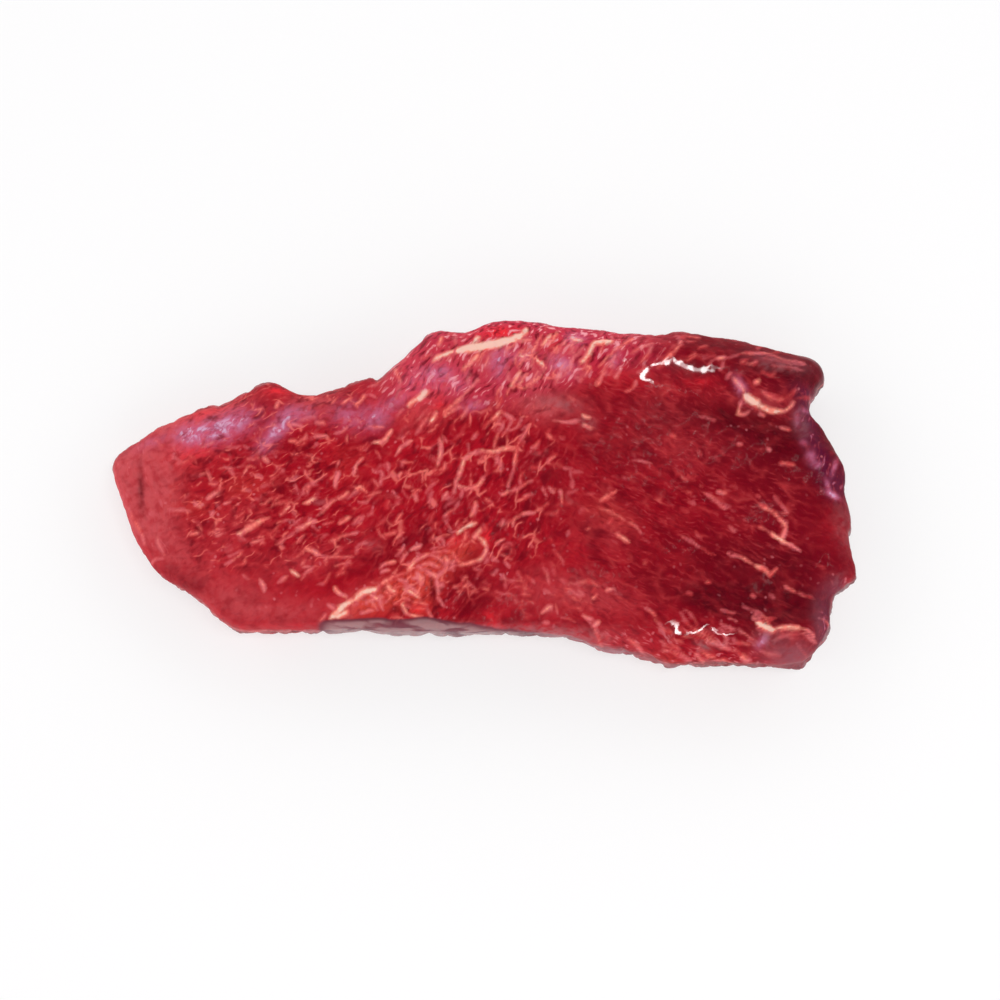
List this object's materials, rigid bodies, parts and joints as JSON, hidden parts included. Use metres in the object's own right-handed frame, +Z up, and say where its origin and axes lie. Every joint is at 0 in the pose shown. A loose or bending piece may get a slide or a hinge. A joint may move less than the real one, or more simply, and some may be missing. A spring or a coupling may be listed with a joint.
{
  "type": "raw beef sirloin",
  "caption": "Boneless raw beef sirloin slab, flat underneath, with a marbled cut face, a thin tip, a broad ragged end and edges rolled over at the broad end.",
  "frame": {"origin": "middle of the resting face, under the middle of the slab's outline box", "axes": "+X from the thin tip to the broad end, +Y from the front edge to the back edge, +Z up from the resting face to the marbled cut face"},
  "size_m": [0.263, 0.1271, 0.0302],
  "materials": {
    "raw_beef": "moist raw muscle, deep red with pale fat marbling"
  },
  "bodies": {
    "root": {"sirloin": "raw_beef"}
  },
  "joints": []
}
